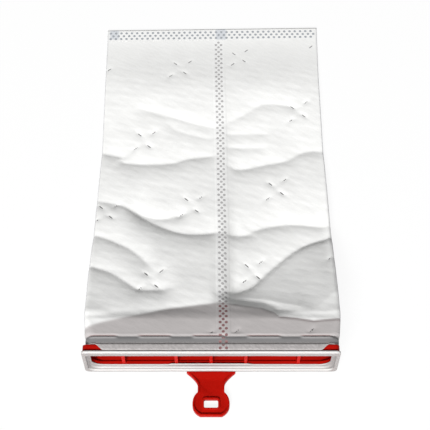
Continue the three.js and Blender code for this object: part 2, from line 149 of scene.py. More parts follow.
CREASES = [
    fold(0.9, 5, [(-94, 18), (-77, 24), (-49, 31), (-31, 36), (-11, 39), (7, 41.6), (14, 42)]),
    fold(0.9, 5, [(0, 41.6), (19, 40), (36, 37), (44, 33), (50, 28)]),
]
FOLDS = [
    fold(-1.6, 11, [(8, 49), (30, 48), (50, 43), (74, 36)]),
    fold(-0.7, 7, [(36, 37), (48, 34), (65, 33), (81, 33), (99, 36)]),
    fold(-1.2, 5, [(-92, 34), (-80, 31), (-70, 27)]),
    fold(10.5, 48, [(-2, 46), (25, 52.6), (40, 67), (53, 80), (68.5, 92.6), (89, 100.5), (105, 103)],
         hollow=1.0),
    fold(2.8, 9, [(-99, 76), (-76, 69), (-60, 58), (-51, 52.6), (-35, 52.6), (-22, 54)]),
    fold(2.6, 9, [(-99, 105), (-78, 99), (-58.5, 88), (-46, 75), (-38, 66)]),
    fold(3.6, 10, [(-68, 129), (-60, 124.5), (-36, 109), (-17.5, 103), (2.6, 104), (14, 105)]),
    fold(2.2, 8, [(-99, 137), (-71.5, 131.5), (-60, 126), (-40, 118.5), (-24, 121), (-8, 126)]),
    fold(3.0, 9, [(2, 103), (26, 104), (33.6, 109), (57, 115), (86, 114), (99, 113)]),
    fold(2.4, 9, [(-99, 184), (-72, 177), (-67, 171), (-35, 170), (-17, 175), (1, 177), (14, 179)]),
    fold(2.6, 9, [(6, 175), (18.6, 165), (43, 170), (59, 174), (70, 181), (79, 183.5), (88, 182.5),
                  (99, 180)]),
    fold(0.7, 4, [(8, 199), (17, 199), (35, 199), (48, 199)]),
    fold(0.7, 4, [(8, 187), (17, 186), (33.5, 186), (46, 186)]),
    fold(0.6, 5, [(-40, 211), (-24, 201), (-6, 195), (8, 194)]),
    fold(1.2, 8, [(-66, 223), (-49, 220), (-12, 208), (3, 204), (12, 202)]),
    fold(1.3, 8, [(4, 202), (14, 210), (27, 217.5), (41, 227), (61, 226), (76, 223)]),
]

# Pieces of the curve between two points of a fold
FOLD_STEPS = 5
# How a fold's height falls off: its line's rounding, the share of its length in which it fades
# in and out, the share and reach of its sharp part, and the reach of the slope beyond the line
FOLD_CREST = 0.8
FOLD_FADE = 0.2
FOLD_SHARP = 0.18
FOLD_SHARP_REACH = 2.2
FOLD_FAR_REACH = 5.0
FOLD_FAR_LIMIT = 38.0

# Line along which the fabric leaves the collar
CREASE_LINE = [
    (-94, 18), (-77, 24), (-49, 31), (-31, 36), (-11, 39), (7, 41.6), (19, 40), (36, 37),
    (44, 33), (48, 28), (58, 27), (72, 24.6), (81, 25.5), (96, 27),
]

# Weld marks: groups of four dashes set like an X, two falling to the right and two rising
MARK_GROUPS = [
    ((-29.7, 269.0), (-22.0, 259.1), (-17.9, 271.0), (-33.3, 256.0)),
    ((18.3, 279.8), (26.7, 272.1), (28.7, 283.0), (17.3, 268.4)),
    ((65.0, 225.4), (73.9, 217.2), (76.0, 229.8), (63.4, 212.4)),
    ((-56.9, 198.5), (-49.3, 187.6), (-45.6, 200.5), (-59.7, 185.7)),
    ((45.7, 152.0), (54.2, 143.7), (56.7, 156.0), (43.4, 138.5)),
    ((-19.1, 136.5), (-11.2, 125.7), (-8.0, 138.0), (-22.8, 122.7)),
    ((-84.0, 129.4), (-76.1, 119.8), (-72.6, 130.9), (-86.1, 117.1)),
    ((26.2, 77.9), (34.5, 68.6), (36.8, 81.6), (24.3, 64.5)),
    ((-47.4, 67.6), (-39.7, 57.1), (-36.2, 69.7), (-51.1, 55.3)),
]
MARK_SINGLES = [(82.4, 287.2), (-84.0, 263.0), (87.8, 83.4), (0.0, 15.4), (18.1, 17.0), (70.5, 17.8)]
MARK_TURN = math.radians(42)
MARK_LENGTH = 4.0
MARK_WIDTH = 0.9
DENT_DEPTH = 0.6
DENT_REACH = 1.7
FLARE_LENGTH = 15.0
FLARE_DEPTH = 0.12
FLARE_REACH = 2.2
DENTS_START = 12.0
DENTS_FULL = 15.0

# Small unevenness of the loose fabric and of the fabric on the collar, and how the seam stiffens it
LOOSE_WAVES = (22.0, 34.0, 55.0)
LOOSE_UNEVENNESS = 0.35
COLLAR_WAVES = (7.0, 11.0)
COLLAR_UNEVENNESS = 0.12
SEAM_STIFFNESS = 0.4
SEAM_STIFF_REACH = 5.0
# The folds fade in from before the crease to beyond it
FOLDS_BEFORE_CREASE = 2.0
FOLDS_BEYOND_CREASE = 8.0

# The long lap seam and the end weld: staggered rows of round dots
SEAM_X_AT_MOUTH = 7.85
SEAM_LEAN = -0.0093
SEAM_COLUMN = 2.15
SEAM_PITCH = 4.99
SEAM_LEFT = -4.2
SEAM_RIGHT = 4.8
SEAM_RISE = 0.2
SEAM_EDGE = 0.5
DOT_RADIUS = 1.1
END_ROW_FIRST = 3.2
END_ROW_STEP = 2.9
END_PITCH = 4.4
END_MARGIN = 2.5

SEED = 7


def smooth(low, high, value):
    t = np.clip((value - low) / (high - low), 0.0, 1.0)
    return t * t * (3.0 - 2.0 * t)


def lerp(a, b, t):
    return a + (b - a) * t


def fraction(low, high, value):
    return np.clip((value - low) / (high - low), 0.0, 1.0)


def place(points):
    """Points in the mouth's millimetres as the row's metres."""
    points = np.asarray(points, float)
    return points * MM + np.array([MOUTH_X, MOUTH_Y, 0.0])


def new_object(name, points, faces):
    mesh = bpy.data.meshes.new(name)
    mesh.from_pydata([tuple(p) for p in place(points)], [], [tuple(f) for f in faces])
    mesh.validate()
    mesh.polygons.foreach_set("use_smooth", [True] * len(mesh.polygons))
    mesh.update()
    piece = bpy.data.objects.new(name, mesh)
    bpy.context.scene.collection.objects.link(piece)
    return piece


# Material helpers


def new_material(name):
    material = bpy.data.materials.new(name)
    material.use_nodes = True
    tree = material.node_tree
    tree.nodes.clear()
    output = tree.nodes.new("ShaderNodeOutputMaterial")
    shader = tree.nodes.new("ShaderNodeBsdfPrincipled")
    tree.links.new(shader.outputs["BSDF"], output.inputs["Surface"])
    return material, tree, shader


def add_node(tree, kind, **values):
    node = tree.nodes.new(kind)
    for key, value in values.items():
        if key in node.inputs:
            node.inputs[key].default_value = value
        else:
            setattr(node, key, value)
    return node


def object_coordinates(tree, stretch=(1, 1, 1), turn=0.0):
    """Object coordinates for a texture that is stretched, and then turned about Z."""
    where = tree.nodes.new("ShaderNodeTexCoord")
    mapping = add_node(tree, "ShaderNodeMapping", vector_type="TEXTURE")
    mapping.inputs["Scale"].default_value = stretch
    mapping.inputs["Rotation"].default_value = (0.0, 0.0, turn)
    tree.links.new(where.outputs["Object"], mapping.inputs["Vector"])
    return mapping.outputs["Vector"]


def add_noise(tree, vector, scale, detail=3.0, roughness=0.55):
    node = add_node(tree, "ShaderNodeTexNoise", Scale=scale, Detail=detail, Roughness=roughness)
    tree.links.new(vector, node.inputs["Vector"])
    return node.outputs["Fac"]


def map_range(tree, value, low, high, to_low, to_high):
    node = tree.nodes.new("ShaderNodeMapRange")
    node.inputs["From Min"].default_value = low
    node.inputs["From Max"].default_value = high
    node.inputs["To Min"].default_value = to_low
    node.inputs["To Max"].default_value = to_high
    tree.links.new(value, node.inputs["Value"])
    return node.outputs["Result"]


def math_node(tree, operation, first, second):
    node = tree.nodes.new("ShaderNodeMath")
    node.operation = operation
    for socket, value in zip(node.inputs, (first, second)):
        if isinstance(value, (int, float)):
            socket.default_value = value
        else:
            tree.links.new(value, socket)
    return node.outputs["Value"]


def mix_colour(tree, factor, first, second, blend="MIX"):
    """A mix of two colours, whose node has its colour sockets at 0, 6 and 7 and its result at 2."""
    node = tree.nodes.new("ShaderNodeMix")
    node.data_type = "RGBA"
    node.blend_type = blend
    sockets = (node.inputs[0], node.inputs[6], node.inputs[7])
    for socket, value in zip(sockets, (factor, first, second)):
        if isinstance(value, (int, float, tuple)):
            socket.default_value = value
        else:
            tree.links.new(value, socket)
    return node.outputs[2]


def add_bump(tree, shader, layers):
    """A chain of bumps, each (height, strength, distance in millimetres)."""
    normal = None
    for height, strength, distance in layers:
        node = add_node(tree, "ShaderNodeBump", Strength=strength, Distance=distance * MM)
        tree.links.new(height, node.inputs["Height"])
        if normal is not None:
            tree.links.new(normal, node.inputs["Normal"])
        normal = node.outputs["Normal"]
    tree.links.new(normal, shader.inputs["Normal"])


# The emboss: short fine ridges that fall to the right
EMBOSS_TURN = math.radians(-32)
EMBOSS_STRETCH = 2.6
EMBOSS_SCALE = 480.0


def fabric_material():
    """White spun-bonded non-woven: soft fibre clouds, a diagonal emboss and a fine grain."""
    material, tree, shader = new_material("bag_nonwoven")
    tint = add_node(tree, "ShaderNodeAttribute", attribute_name="tint")
    clouds = add_noise(tree, object_coordinates(tree), 90.0, 4.0)
    across = object_coordinates(tree, (1.0, 0.5, 1.0), math.radians(25))
    fibres = add_noise(tree, across, 900.0, 4.0, 0.7)
    shade = math_node(tree, "ADD", map_range(tree, clouds, 0.3, 0.7, 0.965, 1.0),
                      map_range(tree, fibres, 0.3, 0.7, -0.025, 0.02))
    grey = tree.nodes.new("ShaderNodeCombineColor")
    for socket in grey.inputs[:3]:
        tree.links.new(shade, socket)
    colour = mix_colour(tree, 1.0, tint.outputs["Color"], grey.outputs["Color"], "MULTIPLY")
    tree.links.new(colour, shader.inputs["Base Color"])
    shader.inputs["Roughness"].default_value = 0.9
    shader.inputs["Specular IOR Level"].default_value = 0.15
    shader.inputs["Sheen Weight"].default_value = 0.12
    shader.inputs["Sheen Roughness"].default_value = 0.6
    along = object_coordinates(tree, (EMBOSS_STRETCH, 1.0, 1.0), EMBOSS_TURN)
    ridges = add_noise(tree, along, EMBOSS_SCALE, 1.0)
    add_bump(tree, shader, [(ridges, 0.5, 0.16), (fibres, 0.5, 0.12)])
    return material


def weld_material():
    """Pressed weld spots: the fibres melted to a smoother, greyer film."""
    material, tree, shader = new_material("weld_film")
    tint = add_node(tree, "ShaderNodeAttribute", attribute_name="tint")
    clouds = add_noise(tree, object_coordinates(tree), 400.0, 2.0)
    shade = map_range(tree, clouds, 0.3, 0.7, 0.85, 1.08)
    grey = tree.nodes.new("ShaderNodeCombineColor")
    for socket in grey.inputs[:3]:
        tree.links.new(shade, socket)
    colour = mix_colour(tree, 1.0, tint.outputs["Color"], grey.outputs["Color"], "MULTIPLY")
    tree.links.new(colour, shader.inputs["Base Color"])
    shader.inputs["Roughness"].default_value = 0.45
    shader.inputs["Specular IOR Level"].default_value = 0.4
    add_bump(tree, shader, [(clouds, 0.4, 0.1)])
    return material


def plastic_material():
    """Red polypropylene, satin, with the faint orange peel of a moulding."""
    material, tree, shader = new_material("red_polypropylene")
    peel = add_noise(tree, object_coordinates(tree), 700.0, 2.0)
    flow = add_noise(tree, object_coordinates(tree, (3.0, 1.0, 1.0)), 60.0, 3.0)
    colour = mix_colour(tree, map_range(tree, flow, 0.35, 0.65, 0.0, 1.0),
                        (0.36, 0.005, 0.002, 1.0), (0.40, 0.006, 0.003, 1.0))
    tree.links.new(colour, shader.inputs["Base Color"])
    tree.links.new(map_range(tree, flow, 0.3, 0.7, 0.36, 0.46), shader.inputs["Roughness"])
    shader.inputs["Specular IOR Level"].default_value = 0.04
    shader.inputs["Subsurface Weight"].default_value = 0.08
    shader.inputs["Subsurface Radius"].default_value = (1.0, 0.12, 0.08)
    shader.inputs["Subsurface Scale"].default_value = 2.0 * MM
    add_bump(tree, shader, [(peel, 0.25, 0.05)])
    return material


def seal_material():
    """Soft off-white elastomer with a matte skin, its faces turned up painted lighter than the rest
    as painted light.
    """
    material, tree, shader = new_material("seal_elastomer")
    grain = add_noise(tree, object_coordinates(tree), 1200.0, 2.0)
    clouds = add_noise(tree, object_coordinates(tree, (4.0, 1.0, 1.0)), 120.0, 3.0)
    colour = mix_colour(tree, map_range(tree, clouds, 0.35, 0.65, 0.0, 1.0),
                        (0.27, 0.25, 0.245, 1.0), (0.295, 0.275, 0.27, 1.0))
    facing = tree.nodes.new("ShaderNodeNewGeometry")
    upward = tree.nodes.new("ShaderNodeSeparateXYZ")
    tree.links.new(facing.outputs["Normal"], upward.inputs["Vector"])
    # Painted light: faces turned up are painted much lighter than faces turned to the front
    painted_top_light = map_range(tree, upward.outputs["Z"], 0.15, 0.9, 0.0, 1.0)
    colour = mix_colour(tree, painted_top_light, colour, (0.66, 0.65, 0.64, 1.0))
    tint = add_node(tree, "ShaderNodeAttribute", attribute_name="tint")
    colour = mix_colour(tree, 1.0, colour, tint.outputs["Color"], "MULTIPLY")
    tree.links.new(colour, shader.inputs["Base Color"])
    tree.links.new(map_range(tree, clouds, 0.3, 0.7, 0.42, 0.56), shader.inputs["Roughness"])
    shader.inputs["Subsurface Weight"].default_value = 0.15
    shader.inputs["Subsurface Radius"].default_value = (1.0, 0.8, 0.7)
    shader.inputs["Subsurface Scale"].default_value = 1.5 * MM
    add_bump(tree, shader, [(clouds, 0.3, 0.15), (grain, 0.2, 0.04)])
    return material


# The filter bag


def side_lines(y):
    depth, left, right = np.array(BAG_SIDES).T
    return np.interp(y, depth, left), np.interp(y, depth, right)


def drift(y):
    left, right = side_lines(y)
    return (left + right) / 2


def crease_y(x):
    """Where the fabric leaves the collar."""
    return np.interp(x, *np.array(CREASE_LINE, float).T)


def skew(x, y):
    return BAG_END_SKEW * (x / (2 * BAG_END_HALF)) * (y / BAG_LENGTH) ** 2


def seam_x(y):
    """The seam's middle line, measured from the bag's own middle line."""
    return SEAM_X_AT_MOUTH + SEAM_LEAN * y


def smooth_path(points):
    """A Catmull-Rom curve through the points, as short straight pieces."""
    ends = np.concatenate([[2 * points[0] - points[1]], points, [2 * points[-1] - points[-2]]])
    t = np.linspace(0.0, 1.0, FOLD_STEPS, endpoint=False)[:, None]
    pieces = []
    for a, b, c, d in zip(ends, ends[1:], ends[2:], ends[3:]):
        bend = (2 * a - 5 * b + 4 * c - d) * t ** 2 + (3 * b - a - 3 * c + d) * t ** 3
        pieces.append(b + ((c - a) * t + bend) / 2)
    return np.concatenate(pieces + [points[-1:]])


def nearest_on_path(path, x, y):
    """Distance to a path, and whether a point lies beyond it."""
    start = path[:-1]
    step = path[1:] - start
    dx = x[None, :] - start[:, :1]
    dy = y[None, :] - start[:, 1:]
    t = np.clip((dx * step[:, :1] + dy * step[:, 1:]) / (step ** 2).sum(axis=1)[:, None], 0.0, 1.0)
    distance = np.hypot(dx - t * step[:, :1], dy - t * step[:, 1:])
    nearest = distance.argmin(axis=0)
    pick = (nearest, np.arange(len(x)))
    side = step[nearest, 0] * dy[pick] - step[nearest, 1] * dx[pick]
    return distance[pick], side > 0


for one in CREASES + FOLDS:
    one["path"] = smooth_path(one["points"])


def fold_relief(folds, x, y):
    """Height that the folds add: a fairly sharp fall to the line, and a long way up beyond it."""
    height = np.zeros_like(x)
    for one in folds:
        path = one["path"]
        distance, beyond = nearest_on_path(path, x, y)
        away = np.hypot(distance, FOLD_CREST) - FOLD_CREST
        gentle = np.maximum(0.0, 1 - away / (one["hollow"] * one["near"])) ** one["hollow"]
        fall = lerp(gentle, np.exp(-away / FOLD_SHARP_REACH), FOLD_SHARP)
        rise = np.exp(-away / min(FOLD_FAR_REACH * abs(one["depth"]), FOLD_FAR_LIMIT))
        along = (x - path[0, 0]) / (path[-1, 0] - path[0, 0])
        ends = smooth(0.0, FOLD_FADE, along) * smooth(0.0, FOLD_FADE, 1.0 - along)
        height -= one["depth"] * ends * np.where(beyond, rise, fall)
    return height


def soft_noise(x, y, wavelengths, seed):
    """Smooth repeatable unevenness, from a few crossed waves."""
    draw = np.random.default_rng(seed)
    total = np.zeros_like(x)
    for wavelength in wavelengths:
        for _ in range(3):
            turn = draw.uniform(0, math.pi)
            phase = draw.uniform(0, 2 * math.pi)
            wave = 2 * math.pi / (wavelength * draw.uniform(0.8, 1.25))
            total += np.sin((x * math.cos(turn) + y * math.sin(turn)) * wave + phase) / 3
    return total / len(wavelengths)


def all_marks():
    """Every dash: centre x, centre y and direction."""
    turns = (-MARK_TURN, -MARK_TURN, MARK_TURN, MARK_TURN)
    marks = [(x, y, turn) for group in MARK_GROUPS for (x, y), turn in zip(group, turns)]
    return marks + [(x, y, MARK_TURN) for x, y in MARK_SINGLES]


def dents(x, y):
    """How far the fabric is drawn down at the weld marks, with a shallow pull along each."""
    depth = np.zeros_like(x)
    for cx, cy, turn in all_marks():
        along = np.abs((x - cx) * math.cos(turn) + (y - cy) * math.sin(turn))
        across = (y - cy) * math.cos(turn) - (x - cx) * math.sin(turn)
        close = np.hypot(np.maximum(0.0, along - MARK_LENGTH / 2), across)
        pull = np.hypot(np.maximum(0.0, along - FLARE_LENGTH / 2), across)
        depth += DENT_DEPTH * np.exp(-close / DENT_REACH) + FLARE_DEPTH * np.exp(-pull / FLARE_REACH)
    return depth


def bag_half_width(y):
    left, right = side_lines(y)
    return (right - left) / 2


def top_base(x, y):
    across = np.minimum(1.0, np.abs(x) / BAG_END_HALF)
    crown = 1 - across ** 4
    crease = SPIGOT_END + CREASE_STEP + CREASE_BULGE * (1 - across ** 2)
    sink = CREASE_DROP * crown * smooth(SPIGOT_END, crease, y)
    taper = SPIGOT_TAPER * fraction(RIDGE, SPIGOT_END, y)
    start = AXIS_Z + SPIGOT_HALF + 2 * FABRIC_WALL - taper - sink
    left = 1 - fraction(SPIGOT_END, SPIGOT_END + WEDGE_LENGTH, y)
    top = lerp(FAR_THICKNESS + CROWN_RISE * crown, start, left ** WEDGE_CURVE)
    return lerp(top, WELD_THICKNESS, smooth(WELD_FOOT, WELD_START, y))


def bottom_base(y):
    fall = smooth(SPIGOT_END, SPIGOT_END + UNDERSIDE_FALL, y)
    return lerp(AXIS_Z - SPIGOT_HALF - FABRIC_WALL, 0.0, fall)


def top_detail(x, y):
    """Folds, seam, dents and unevenness on top of the plain surface."""
    weld = smooth(WELD_FOOT, WELD_START, y)
    loose = (1 - weld) * smooth(SPIGOT_END + CLEARANCE, SPIGOT_END + LOOSE_STEP, y)
    from_seam = x - seam_x(y)
    lying_x = x + drift(y)
    lying_y = y + skew(x, y)
    leaves = crease_y(lying_x)
    beyond = smooth(leaves - FOLDS_BEFORE_CREASE, leaves + FOLDS_BEYOND_CREASE, y)
    height = fold_relief(CREASES, lying_x, lying_y) + beyond * fold_relief(FOLDS, lying_x, lying_y)
    height *= loose * (1 - SEAM_STIFFNESS * np.exp(-(from_seam / SEAM_STIFF_REACH) ** 2))
    height += loose * LOOSE_UNEVENNESS * soft_noise(x, y, LOOSE_WAVES, SEED)
    on_collar = smooth(RIDGE + PRESSED_LENGTH, SPIGOT_END, y)
    height += (1 - weld) * on_collar * COLLAR_UNEVENNESS * soft_noise(x, y, COLLAR_WAVES, SEED + 1)
    lap = smooth(SEAM_LEFT - SEAM_EDGE, SEAM_LEFT, from_seam)
    lap *= 1 - smooth(SEAM_RIGHT, SEAM_RIGHT + SEAM_EDGE, from_seam)
    height += SEAM_RISE * lap * (1 - weld)
    height -= (1 - weld) * dents(lying_x, lying_y) * smooth(DENTS_START, DENTS_FULL, y)
    return height


class Shell:
    """Loops of equal length joined into one closed mesh."""

    def __init__(self):
        self.points = []
        self.faces = []

    def add_loop(self, loop):
        first = len(self.points)
        self.points.extend(loop)
        return list(range(first, first + len(loop)))

    def bridge(self, near, far):
        count = len(near)
        for i in range(count):
            j = (i + 1) % count
            self.faces.append((near[i], far[i], far[j], near[j]))

    def cap(self, loop, flip=False):
        centre = np.mean([self.points[i] for i in loop], axis=0)
        middle = self.add_loop([centre])[0]
        count = len(loop)
        for i in range(count):
            j = (i + 1) % count
            face = (loop[i], middle, loop[j])
            self.faces.append(face[::-1] if flip else face)


# How finely the bag is divided: steps round a section, and distances between sections
TOP_LEFT_STEPS = 72
SEAM_STEPS = 24
SEAM_MARGIN = 1.2
TOP_RIGHT_STEPS = 62
ARC_STEPS = 4
LEG_STEPS = 5
UNDER_STEPS = 16
BAG_STEP = 1.0
RAMP_STEP = 0.7
WELD_FIRST_STEP = 0.6
WELD_STEP = 0.9
CAVITY_STEP = 6.0
CAVITY_FINE_END = 90.0
CAVITY_LONG_STEP = 20.0


def top_positions(inner, y):
    """X positions over the top: even, and close together along the seam."""
    left = seam_x(y) + SEAM_LEFT - SEAM_MARGIN
    right = seam_x(y) + SEAM_RIGHT + SEAM_MARGIN
    return np.concatenate([
        np.linspace(-inner, left, TOP_LEFT_STEPS + 1)[:-1],
        np.linspace(left, right, SEAM_STEPS + 1)[:-1],
        np.linspace(right, inner, TOP_RIGHT_STEPS + 1),
    ])


def front_edge(x, is_top):
    """Where the fabric starts on the collar: cut back at the corners and round the tab's root."""
    start = BAND_HALF_WIDTH - BAND_CORNER / 2
    cut = smooth(start, start + BAND_CORNER, np.abs(x))
    if not is_top:
        past_tab = np.abs(x) - TAB_ROOT_WIDTH / 2
        cut = np.maximum(cut, 1 - smooth(TAB_RELIEF_START, TAB_RELIEF_END, past_tab))
    return lerp(FLANGE_FRONT + CLEARANCE, FLANGE_REAR + CLEARANCE, cut)


def outer_section(y):
    """The bag's outside at one depth beyond the pressed part of the collar."""
    half_width = bag_half_width(y)
    weld = smooth(WELD_FOOT, WELD_START, y)
    leaves_collar = smooth(RIDGE + PRESSED_LENGTH, SPIGOT_END + CREASE_STEP, y)
    rounding = lerp(SPIGOT_RADIUS, SIDE_RADIUS, leaves_collar)
    rounding = lerp(rounding, FOLD_RADIUS, smooth(SPIGOT_END, SPIGOT_END + WEDGE_LENGTH, y))
    radius = lerp(rounding, WELD_EDGE_RADIUS, weld)
    opened = top_base(half_width, y) - bottom_base(y) - 2 * radius
    folded = math.sqrt(max(0.0, GUSSET_GIRTH ** 2 - opened ** 2)) / 2
    starts = smooth(SPIGOT_END, SPIGOT_END + GUSSET_START, y)

    def top(x):
        x = np.asarray(x, float)
        return top_base(x, y) + top_detail(x, np.full_like(x, y))

    return {
        "y": lambda x, is_top: np.full_like(np.asarray(x, float), y),
        "half_width": half_width,
        "radius": radius,
        "gusset": folded * starts * (1 - weld),
        "top": top,
        "bottom": bottom_base(y),
    }


# Where the fabric is pressed onto the collar in five places along its ridge
PAD_SPANS = [(-84.5, -66.0), (-50.0, -28.5), (-12.5, 9.0), (25.5, 48.0), (63.0, 83.5)]
PAD_SOFTNESS = 1.8

# The fabric behind the flange, as shares of the way to the neck's depth or to the ridge's top
NECK_STEPS = [(0.35, 0.4), (0.7, 0.8)]
# Beyond the ridge's top: distance, how much lower the fabric lies, and how far a pad stands out
RIDGE_STEPS = [
    (0.0, 0.0, 0.25), (0.8, 0.0, 0.4), (1.6, 0.0, 0.3), (2.2, 0.1, -0.2), (2.7, 0.1, -0.7),
    (3.2, 0.0, -0.3), (4.0, 0.0, 0.0),
]
BAND_STEPS = (0.0, 0.25, 0.5, 0.75, 1.0)
FLANGE_EDGE = 0.6
FLANGE_EDGE_SHARE = 0.6


def pad_mask(x):
    mask = np.zeros_like(np.asarray(x, float))
    for low, high in PAD_SPANS:
        rises = smooth(low - PAD_SOFTNESS, low + PAD_SOFTNESS, x)
        mask = np.maximum(mask, rises * (1 - smooth(high - PAD_SOFTNESS, high + PAD_SOFTNESS, x)))
    return mask


def collar_sections(grow):
    """Sections where the fabric lies on the collar, grown outwards by the fabric's wall."""
    neck_half = SPIGOT_HALF - NECK_DIP
    half_width = SPIGOT_HALF_WIDTH + BAG_MOUTH_GAP + grow
    ridge_half = SPIGOT_HALF + FABRIC_WALL / 2

    def section(y, half, pad=0.0):
        def top(x):
            x = np.asarray(x, float)
            return AXIS_Z + half + grow + (pad * pad_mask(x) if grow else 0.0) + np.zeros_like(x)
        return {"y": y, "half_width": half_width, "radius": SPIGOT_RADIUS - FABRIC_WALL + grow,
                "gusset": 0.0, "top": top, "bottom": AXIS_Z - half - grow}

    def at(value):
        return lambda x, is_top: np.full_like(np.asarray(x, float), value)

    def band(share):
        def front(x, is_top):
            start = front_edge(x, is_top)
            last = np.maximum(FLANGE_REAR, start) + CLEARANCE / 2
            return lerp(start, last, share)
        return front

    sections = [section(band(share), BAND_HALF) for share in BAND_STEPS]
    sections += [
        section(at(FLANGE_REAR + FLANGE_EDGE), lerp(BAND_HALF, neck_half, FLANGE_EDGE_SHARE)),
        section(at(FLANGE_REAR + NECK_LENGTH / 2), neck_half),
        section(at(RAMP_START), neck_half),
    ]
    for along, up in NECK_STEPS:
        sections.append(section(at(lerp(RAMP_START, RIDGE, along)), lerp(neck_half, ridge_half, up)))
    for past, lower, pad in RIDGE_STEPS:
        sections.append(section(at(RIDGE + past), ridge_half - lower, pad))
    return sections


def bag_loop(section):
    """Points round a section: over the top, down the right side, under and up the left side."""
    radius = section["radius"]
    half_width = section["half_width"]
    gusset = section["gusset"]
    bottom = section["bottom"]
    inner = half_width - radius
    mid_y = float(section["y"](np.zeros(1), True)[0])
    xs = top_positions(inner, mid_y)
    parts = [(xs, section["top"](xs), True)]

    def side_points(sign):
        upper = float(section["top"](np.array([sign * inner]))[0]) - radius
        lower = bottom + radius
        side = []
        for k in range(1, ARC_STEPS + 1):
            angle = k / ARC_STEPS * math.pi / 2
            side.append((inner + radius * math.sin(angle), upper + radius * math.cos(angle)))
        for k in range(1, 2 * LEG_STEPS):
            t = k / LEG_STEPS
            side.append((half_width - gusset * (1 - abs(1 - t)), lerp(upper, lower, t / 2)))
        for k in range(ARC_STEPS, 0, -1):
            angle = k / ARC_STEPS * math.pi / 2
            side.append((inner + radius * math.sin(angle), lower - radius * math.cos(angle)))
        return [(sign * x, z) for x, z in side]

    right = side_points(1)
    under = np.concatenate([
        np.linspace(inner, TAB_ROOT_WIDTH / 2 + 3.0, UNDER_STEPS // 2),
        [TAB_ROOT_WIDTH / 2 + 1.0, 0.0, -TAB_ROOT_WIDTH / 2 - 1.0],
        np.linspace(-TAB_ROOT_WIDTH / 2 - 3.0, -inner, UNDER_STEPS // 2),
    ])
    left = side_points(-1)[::-1]
    for side in (right, left):
        x, z = np.array(side).T
        parts.append((x, z, None))
    parts.insert(2, (under, np.full_like(under, bottom), False))
    loop = []
    for x, z, is_top in parts:
        if is_top is None:
            y = np.where(z > AXIS_Z, section["y"](x, True), section["y"](x, False))
        else:
            y = section["y"](x, is_top)
        loop.append(np.stack([x + drift(y), y + skew(x, y), z], axis=1))
    return np.concatenate(loop)


def cavity_section(y):
    """The bag's inside at one depth, low enough to stay under the deepest fold."""
    outer = outer_section(y)
    flat = smooth(SPIGOT_END, SPIGOT_END + GUSSET_START, y)
    side = lerp(FABRIC_WALL, GUSSET_LEG, flat)
    half_width = outer["half_width"] - outer["gusset"] - side
    bottom = outer["bottom"] + FABRIC_WALL
    share = lerp(1.0, CAVITY_SHARE, smooth(SPIGOT_END + CLEARANCE, SPIGOT_END + CREASE_STEP, y))
    ceiling = lerp(bottom, top_base(half_width, y) - side, share)
    return {
        "y": lambda x, is_top: np.full_like(np.asarray(x, float), y),
        "half_width": half_width,
        "radius": min(outer["radius"] - FABRIC_WALL / 2, (ceiling - bottom) / 2 - CLEARANCE),
        "gusset": 0.0,
        "top": lambda x: np.full_like(np.asarray(x, float), ceiling),
        "bottom": bottom,
    }


def spread(start, end, step):
    return np.linspace(start, end, int(math.ceil((end - start) / step)) + 1)


# Colours of the fabric, as fractions of full white, painted shade among them
WHITE = np.array([0.885, 0.885, 0.872])
# Pinkish grey where the red plastic shows through, darkened further as painted shade over the collar
COLLAR_SHOW_THROUGH_AND_SHADE = np.array([0.47, 0.445, 0.44])
BONDED = np.array([0.39, 0.37, 0.365])
RIDGE_PAD = np.array([0.42, 0.41, 0.41])
# Painted shade in the neck behind the flange and over the ridge between the pads
RIDGE_PAINTED_SHADE = np.array([0.15, 0.147, 0.148])
# Painted shade: a dark red line in the dip at the back of each pad
PAD_CREASE_SHADE = np.array([0.16, 0.05, 0.05])
# Painted shadow in the tuck where the fabric leaves the collar on the right
TUCK_SHADOW = np.array([0.14, 0.10, 0.10])
SEAM_WHITE = np.array([0.895, 0.895, 0.885])
# Painted shade down the bag's sides
SIDE_PAINTED_SHADE = np.array([0.62, 0.62, 0.63])
DENSE_WELD = np.array([0.52, 0.56, 0.62])
SPECKLE = 0.16

# Where the colours lie. Some parts of the end weld are pressed flat.
DENSE_SPANS = [(-85.0, -77.5), (3.5, 12.0)]
DENSE_SHARE = 0.6
DENSE_SOFTNESS = 0.8
DENSE_START = 1.5
SEAM_SOFTNESS = 0.3
SIDE_SHADE_START = -0.9
SIDE_SHADE_FULL = -0.1
CREASE_SOFTNESS = 1.5
TUCK_SHADOW_START = 42.0
TUCK_SHADOW_FULL = 50.0
TUCK_SHADOW_WIDTH = 0.9
# Where the painted shade of the neck and ridge lies
RIDGE_SHADE_START = RAMP_START - 0.6
RIDGE_SHADE_END = RIDGE + 2.0
RIDGE_SHADE_SOFTNESS = 0.2
PAD_START = RIDGE + 0.7
PAD_END = RIDGE + 2.2
PAD_EDGE = 0.3
PAD_CREASE_SHADE_LINE = RIDGE + 2.7
PAD_CREASE_SHADE_WIDTH = 0.45
LINE_SHARE = 0.8
TOP_SIDE_START = 60.0
TOP_SIDE_FULL = 30.0


